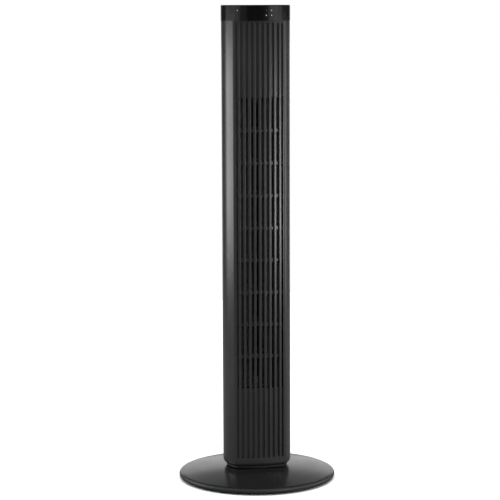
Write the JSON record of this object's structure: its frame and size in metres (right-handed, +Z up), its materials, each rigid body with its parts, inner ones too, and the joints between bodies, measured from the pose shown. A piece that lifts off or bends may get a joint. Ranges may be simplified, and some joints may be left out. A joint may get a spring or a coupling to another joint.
{
  "type": "tower fan",
  "caption": "Free-standing tower fan: a ribbed column with a round gloss cap swings on a low domed disc base.",
  "frame": {"origin": "on the floor, under the column's turning axis, at the centre of the round base", "axes": "+Z up; the grille faces -Y; +X is on the right as seen from the front"},
  "size_m": [0.331, 0.3309, 1],
  "materials": {
    "base_shell": "satin black",
    "column_shell": "fine-textured black",
    "intake_plastic": "matte black",
    "duct_plastic": "matte dark grey",
    "dark_plastic": "matte",
    "wheel_plastic": "matte dark grey",
    "gloss_cap": "high gloss black",
    "deck": "satin",
    "button": "satin grey",
    "light": "milky",
    "window": "smoked gloss",
    "cast_ballast": "raw",
    "plate_steel": "zinc plated",
    "screw_steel": "machined",
    "bearing_bronze": "sintered",
    "gear_nylon": "natural",
    "rubber": "matte",
    "filter_mesh": "fine woven mesh",
    "loom": "sleeved",
    "board": "solder mask"
  },
  "bodies": {
    "base": {"base_cover": "base_shell", "bottom_plate": "dark_plastic", "ballast_ring": "cast_ballast", "rubber_feet": "rubber", "base_screws": "screw_steel", "cord_gland": "rubber", "swivel_post": "dark_plastic", "fixed_gear": "gear_nylon", "gear_retainer": "plate_steel", "thrust_ring": "dark_plastic"},
    "column": {"column_foot": "dark_plastic", "foot_skirt": "column_shell", "front_grille": "column_shell", "rear_housing": "column_shell", "rear_cover": "column_shell", "rear_grille": "intake_plastic", "dust_filter": "filter_mesh", "handle_cup": "intake_plastic", "housing_screws": "screw_steel", "scroll_casing": "duct_plastic", "air_tongue": "duct_plastic", "lower_bulkhead": "duct_plastic", "upper_bulkhead": "duct_plastic", "motor_housing": "plate_steel", "motor_flange": "plate_steel", "motor_dampers": "rubber", "motor_screws": "screw_steel", "driver_board": "board", "upper_bearing": "bearing_bronze", "bearing_seat": "rubber", "swing_bracket": "plate_steel", "swing_motor": "plate_steel", "swing_screws": "screw_steel", "wire_loom": "loom", "board_tray": "duct_plastic", "control_board": "board", "tact_switches": "dark_plastic", "board_screws": "screw_steel", "top_cap": "gloss_cap", "control_deck": "deck", "indicator_lights": "light", "receiver_window": "window"},
    "wheel": {"impeller": "wheel_plastic", "motor_shaft": "screw_steel", "hub_screw": "screw_steel", "pivot_pin": "screw_steel"},
    "pinion": {"swing_pinion": "gear_nylon"},
    "power": {"power_button": "button"},
    "speed": {"speed_button": "button"},
    "mode": {"mode_button": "button"},
    "timer": {"timer_button": "button"},
    "swing": {"swing_button": "button"}
  },
  "joints": [
    {"name": "column_swing", "type": "hinge", "parent": "base", "child": "column", "pos_m": [0, 0, 0.034], "axis": [0, 0, 1], "range_deg": [-40, 40]},
    {"name": "wheel_spin", "type": "hinge", "parent": "column", "child": "wheel", "pos_m": [0, 0.014, 0.2], "axis": [0, 0, 1], "continuous": true},
    {"name": "pinion_spin", "type": "hinge", "parent": "column", "child": "pinion", "pos_m": [0, 0.045, 0.045], "axis": [0, 0, 1], "range_deg": [-125, 125]},
    {"name": "power_press", "type": "slide", "parent": "column", "child": "power", "axis": [0, 0, -1], "range_m": [0, 0.0008], "stiffness_N_per_m": 600},
    {"name": "speed_press", "type": "slide", "parent": "column", "child": "speed", "axis": [0, 0, -1], "range_m": [0, 0.0008], "stiffness_N_per_m": 600},
    {"name": "mode_press", "type": "slide", "parent": "column", "child": "mode", "axis": [0, 0, -1], "range_m": [0, 0.0008], "stiffness_N_per_m": 600},
    {"name": "timer_press", "type": "slide", "parent": "column", "child": "timer", "axis": [0, 0, -1], "range_m": [0, 0.0008], "stiffness_N_per_m": 600},
    {"name": "swing_press", "type": "slide", "parent": "column", "child": "swing", "axis": [0, 0, -1], "range_m": [0, 0.0008], "stiffness_N_per_m": 600}
  ],
  "couplings": [
    {"joint": "pinion_spin", "follows": "column_swing", "ratio": 3}
  ]
}
